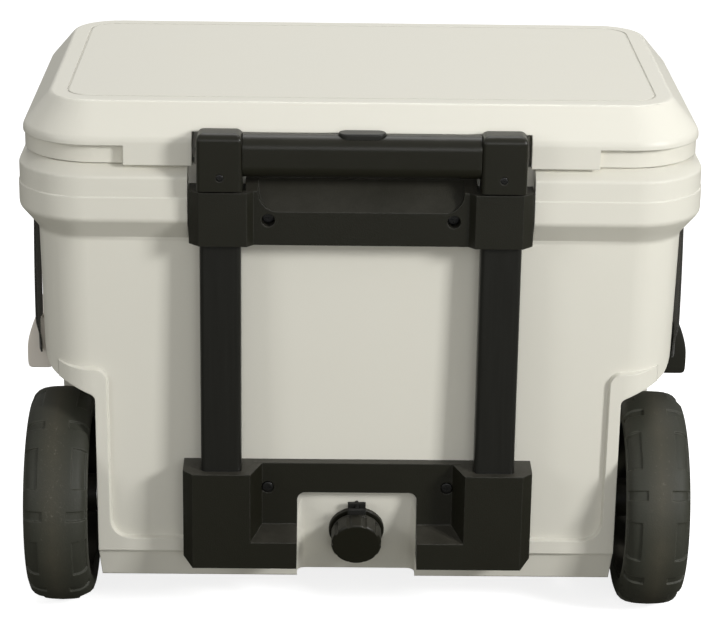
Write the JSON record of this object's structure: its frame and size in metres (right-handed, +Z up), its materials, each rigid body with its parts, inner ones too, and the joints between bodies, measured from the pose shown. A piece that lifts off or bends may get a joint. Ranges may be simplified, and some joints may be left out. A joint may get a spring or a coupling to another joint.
{
  "type": "wheeled cooler box",
  "caption": "Insulated hard cooler with a hinged lid, two wheels, a telescoping pull handle, end carry handles and a screw-cap drain.",
  "frame": {"origin": "on the floor, under the middle of the whole object", "axes": "+X to the right seen from the pull-handle side, -Y towards the pull handle, +Z up"},
  "size_m": [0.655, 0.443, 0.5195],
  "materials": {
    "black_grip": "soft moulded",
    "black_plastic": "fine moulded texture",
    "black_rubber": "matt rubber",
    "black_screw": "black oxide",
    "black_tube": "satin black powder coat",
    "bone_grip": "soft moulded",
    "bone_plastic": "fine moulded texture, satin",
    "button_plastic": "satin",
    "drain_plastic": "fine moulded texture",
    "grip_plastic": "satin moulded",
    "hub_plastic": "moulded, satin",
    "inner_tube_metal": "satin black powder coat, rubbed",
    "insulation_foam": "closed-cell foam",
    "liner_plastic": "smooth satin",
    "steel": "zinc plated",
    "tyre_rubber": "dusty, scuffed",
    "webbing": "woven webbing"
  },
  "bodies": {
    "tub": {"tub_shell": "bone_plastic", "tub_insulation": "insulation_foam", "tub_liner": "liner_plastic", "hinge_tub_screws": "black_screw", "lower_bracket": "black_plastic", "upper_bracket": "black_plastic", "lower_bracket_screws": "black_screw", "upper_bracket_screws": "black_screw", "drain_spout": "drain_plastic", "drain_tether": "black_rubber", "tether_anchor": "black_rubber", "axle_washers": "steel", "axle_nuts": "steel", "hinge_tub_leaf_left": "black_plastic", "hinge_pin_left": "steel", "outer_tube_left": "black_tube", "axle_left": "steel", "foot_left": "black_rubber", "carry_lugs_left": "black_plastic", "carry_pins_left": "steel", "hinge_tub_leaf_right": "black_plastic", "hinge_pin_right": "steel", "outer_tube_right": "black_tube", "axle_right": "steel", "foot_right": "black_rubber", "carry_lugs_right": "black_plastic", "carry_pins_right": "steel"},
    "lid": {"lid_shell": "bone_plastic", "lid_insulation": "insulation_foam", "lid_inner_panel": "liner_plastic", "lid_gasket": "black_rubber", "hinge_lid_screws": "black_screw", "hinge_lid_leaf_left": "black_plastic", "hinge_lid_leaf_right": "black_plastic"},
    "handle_lower_stage": {"mid_tube_left": "inner_tube_metal", "mid_tube_right": "inner_tube_metal"},
    "handle_upper_stage": {"inner_tube_left": "inner_tube_metal", "grip_cap_left": "grip_plastic", "inner_tube_right": "inner_tube_metal", "grip_cap_right": "grip_plastic", "grip_cap_screws": "black_screw", "grip_bar": "grip_plastic", "button_spring": "steel"},
    "release_button": {"release_button": "button_plastic", "release_link": "black_plastic", "release_rods": "steel"},
    "drain_cap": {"drain_cap": "drain_plastic", "drain_washer": "black_rubber"},
    "wheel_left": {"tyre_left": "tyre_rubber", "wheel_hub_left": "hub_plastic", "hub_cap_left": "hub_plastic"},
    "wheel_right": {"tyre_right": "tyre_rubber", "wheel_hub_right": "hub_plastic", "hub_cap_right": "hub_plastic"},
    "carry_handle_left": {"carry_straps_left": "webbing", "carry_grip_left": "bone_grip"},
    "carry_handle_right": {"carry_straps_right": "webbing", "carry_grip_right": "black_grip"}
  },
  "joints": [
    {"name": "lid_hinge", "type": "hinge", "parent": "tub", "child": "lid", "pos_m": [0, 0.2145, 0.464], "axis": [-1, 0, 0], "range_deg": [0, 100]},
    {"name": "handle_lower_slide", "type": "slide", "parent": "tub", "child": "handle_lower_stage", "axis": [0, 0, 1], "range_m": [0, 0.27]},
    {"name": "handle_upper_slide", "type": "slide", "parent": "handle_lower_stage", "child": "handle_upper_stage", "axis": [0, 0, 1], "range_m": [0, 0.28]},
    {"name": "release_button_press", "type": "slide", "parent": "handle_upper_stage", "child": "release_button", "axis": [0, 0, -1], "range_m": [0, 0.004], "stiffness_N_per_m": 900, "springref_m": -0.002, "deforming": ["button_spring"]},
    {"name": "drain_cap_turn", "type": "hinge", "parent": "tub", "child": "drain_cap", "pos_m": [0, -0.15598, 0.088], "axis": [0, -0.9563, -0.2924], "range_deg": [0, 720]},
    {"name": "wheel_left_spin", "type": "hinge", "parent": "tub", "child": "wheel_left", "pos_m": [-0.2915, -0.1155, 0.106], "axis": [1, 0, 0], "continuous": true},
    {"name": "wheel_right_spin", "type": "hinge", "parent": "tub", "child": "wheel_right", "pos_m": [0.2915, -0.1155, 0.106], "axis": [1, 0, 0], "continuous": true},
    {"name": "carry_handle_left_swing", "type": "hinge", "parent": "tub", "child": "carry_handle_left", "pos_m": [-0.3165, 0.007, 0.395], "axis": [0, 1, 0], "range_deg": [0, 95]},
    {"name": "carry_handle_right_swing", "type": "hinge", "parent": "tub", "child": "carry_handle_right", "pos_m": [0.3165, 0.007, 0.395], "axis": [0, -1, 0], "range_deg": [0, 95]}
  ]
}
